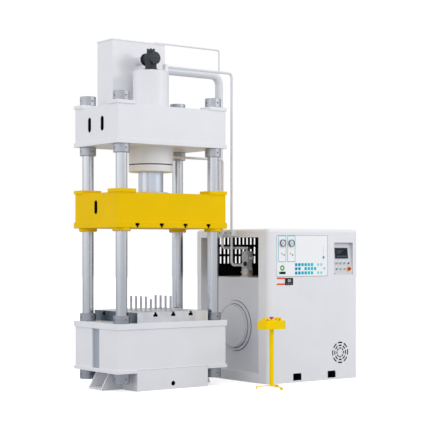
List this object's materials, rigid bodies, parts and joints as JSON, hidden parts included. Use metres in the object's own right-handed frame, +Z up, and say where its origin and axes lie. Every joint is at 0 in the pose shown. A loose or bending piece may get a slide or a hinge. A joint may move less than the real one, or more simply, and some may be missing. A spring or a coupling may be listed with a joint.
{
  "type": "four-column hydraulic press",
  "caption": "Four-column hydraulic press with T-slotted table, moving slide, ejector pins, oil tank, pipes, power cabinet and two-hand pedestal.",
  "frame": {"origin": "on the floor at the centre of the press, under the main cylinder", "axes": "+Z up along the main cylinder, -Y towards the operator, +X from the press to its cabinet"},
  "size_m": [3.552, 2.122, 4.361],
  "materials": {
    "white_paint": "smooth white paint",
    "grey_paint": "light grey paint",
    "yellow_paint": "safety yellow paint",
    "ground_chrome": "ground hard chrome",
    "machined_steel": "turned and milled steel",
    "black_iron": "black painted cast iron",
    "blue_grey_iron": "blue-grey painted cast iron",
    "zinc_steel": "zinc plated",
    "brass": "turned brass",
    "board_print": "gloss white with printed marks",
    "gauge_case": "grey case, white dial",
    "needle": "black",
    "console_plate": "fine texture paint",
    "screen_glass": "black bezel, grey-green screen",
    "black_plastic": "moulded",
    "green_plastic": "moulded",
    "grey_plastic": "moulded",
    "red_plastic": "moulded"
  },
  "bodies": {
    "machine": {"base_frame": "white_paint", "bed": "white_paint", "crown": "white_paint", "main_cylinder": "white_paint", "cylinder_gland": "white_paint", "cylinder_head": "white_paint", "oil_tank": "white_paint", "tank_lid": "white_paint", "cabinet_base": "white_paint", "cabinet_front": "white_paint", "cabinet_top": "white_paint", "cabinet_left_frame": "white_paint", "cabinet_right": "white_paint", "cabinet_rear": "white_paint", "reservoir": "grey_paint", "hatch_cover": "grey_paint", "suction_pipe": "grey_paint", "pressure_pipe": "grey_paint", "return_pipe": "grey_paint", "vent_pipe": "grey_paint", "pipe_clamp": "grey_paint", "pedestal_stand": "yellow_paint", "pedestal_box": "yellow_paint", "columns": "ground_chrome", "bolster_table": "machined_steel", "crown_nuts": "machined_steel", "bed_nuts": "machined_steel", "ejector_cylinder": "machined_steel", "prefill_valve": "black_iron", "pump_motor": "blue_grey_iron", "pump": "blue_grey_iron", "fan_unit": "blue_grey_iron", "valve_block": "zinc_steel", "valve_fittings": "brass", "mimic_board": "board_print", "pressure_gauges": "gauge_case", "control_console": "console_plate", "touch_screen": "screen_glass"},
    "slide_unit": {"slide": "yellow_paint", "guide_bushes": "yellow_paint", "ram": "ground_chrome"},
    "ejector_unit": {"ejector_rod": "machined_steel", "cushion_plate": "machined_steel", "cushion_pins": "machined_steel"},
    "selector_left_knob": {"selector_left": "black_plastic"},
    "selector_middle_knob": {"selector_middle": "black_plastic"},
    "selector_right_knob": {"selector_right": "black_plastic"},
    "black_push": {"button_black": "black_plastic"},
    "green_push": {"button_green": "green_plastic"},
    "grey_push_left": {"button_grey_left": "grey_plastic"},
    "grey_push_right": {"button_grey_right": "grey_plastic"},
    "console_stop_push": {"console_stop": "red_plastic"},
    "needle_left": {"gauge_needle_left": "needle"},
    "needle_right": {"gauge_needle_right": "needle"},
    "fan_rotor": {"fan_impeller": "black_plastic"},
    "pump_drive": {"pump_coupling": "blue_grey_iron", "drive_shafts": "machined_steel"},
    "palm_left": {"palm_button_left": "green_plastic"},
    "palm_right": {"palm_button_right": "green_plastic"},
    "pedestal_stop_push": {"pedestal_stop": "red_plastic"}
  },
  "joints": [
    {"name": "slide_travel", "type": "slide", "parent": "machine", "child": "slide_unit", "axis": [0, 0, 1], "range_m": [-0.6, 0.2]},
    {"name": "ejector_travel", "type": "slide", "parent": "machine", "child": "ejector_unit", "axis": [0, 0, 1], "range_m": [-0.17, 0.08]},
    {"name": "selector_left_turn", "type": "hinge", "parent": "machine", "child": "selector_left_knob", "pos_m": [2.368, -0.81903, 1.51425], "axis": [0, 0.9951, -0.0988], "range_deg": [-45, 45]},
    {"name": "selector_middle_turn", "type": "hinge", "parent": "machine", "child": "selector_middle_knob", "pos_m": [2.435, -0.81903, 1.51425], "axis": [0, 0.9951, -0.0988], "range_deg": [-45, 45]},
    {"name": "selector_right_turn", "type": "hinge", "parent": "machine", "child": "selector_right_knob", "pos_m": [2.504, -0.81903, 1.51425], "axis": [0, 0.9951, -0.0988], "range_deg": [-45, 45]},
    {"name": "black_button_press", "type": "slide", "parent": "machine", "child": "black_push", "axis": [0, 0.9951, -0.0988], "range_m": [0, 0.004], "stiffness_N_per_m": 600, "springref_m": -0.003},
    {"name": "green_button_press", "type": "slide", "parent": "machine", "child": "green_push", "axis": [0, 0.9951, -0.0988], "range_m": [0, 0.004], "stiffness_N_per_m": 600, "springref_m": -0.003},
    {"name": "grey_left_button_press", "type": "slide", "parent": "machine", "child": "grey_push_left", "axis": [0, 0.9951, -0.0988], "range_m": [0, 0.004], "stiffness_N_per_m": 600, "springref_m": -0.003},
    {"name": "grey_right_button_press", "type": "slide", "parent": "machine", "child": "grey_push_right", "axis": [0, 0.9951, -0.0988], "range_m": [0, 0.004], "stiffness_N_per_m": 600, "springref_m": -0.003},
    {"name": "console_stop_press", "type": "slide", "parent": "machine", "child": "console_stop_push", "axis": [0, 0.9951, -0.0988], "range_m": [0, 0.006], "stiffness_N_per_m": 600, "springref_m": -0.003},
    {"name": "needle_left_sweep", "type": "hinge", "parent": "machine", "child": "needle_left", "pos_m": [1.441, -0.84, 1.774], "axis": [0, 1, 0], "range_deg": [0, 270], "stiffness_Nm_per_rad": 0.002, "springref_deg": -34.38},
    {"name": "needle_right_sweep", "type": "hinge", "parent": "machine", "child": "needle_right", "pos_m": [1.583, -0.84, 1.774], "axis": [0, 1, 0], "range_deg": [0, 270], "stiffness_Nm_per_rad": 0.002, "springref_deg": -34.38},
    {"name": "fan_spin", "type": "hinge", "parent": "machine", "child": "fan_rotor", "pos_m": [2.424, -0.804, 0.347], "axis": [0, 1, 0], "continuous": true},
    {"name": "pump_spin", "type": "hinge", "parent": "machine", "child": "pump_drive", "pos_m": [2.43, 0.06, 0.33], "axis": [0, 1, 0], "continuous": true},
    {"name": "palm_left_press", "type": "slide", "parent": "machine", "child": "palm_left", "axis": [0, 0, -1], "range_m": [0, 0.006], "stiffness_N_per_m": 900, "springref_m": -0.003},
    {"name": "palm_right_press", "type": "slide", "parent": "machine", "child": "palm_right", "axis": [0, 0, -1], "range_m": [0, 0.006], "stiffness_N_per_m": 900, "springref_m": -0.003},
    {"name": "pedestal_stop_press", "type": "slide", "parent": "machine", "child": "pedestal_stop_push", "axis": [0, 0, -1], "range_m": [0, 0.006], "stiffness_N_per_m": 900, "springref_m": -0.003}
  ]
}
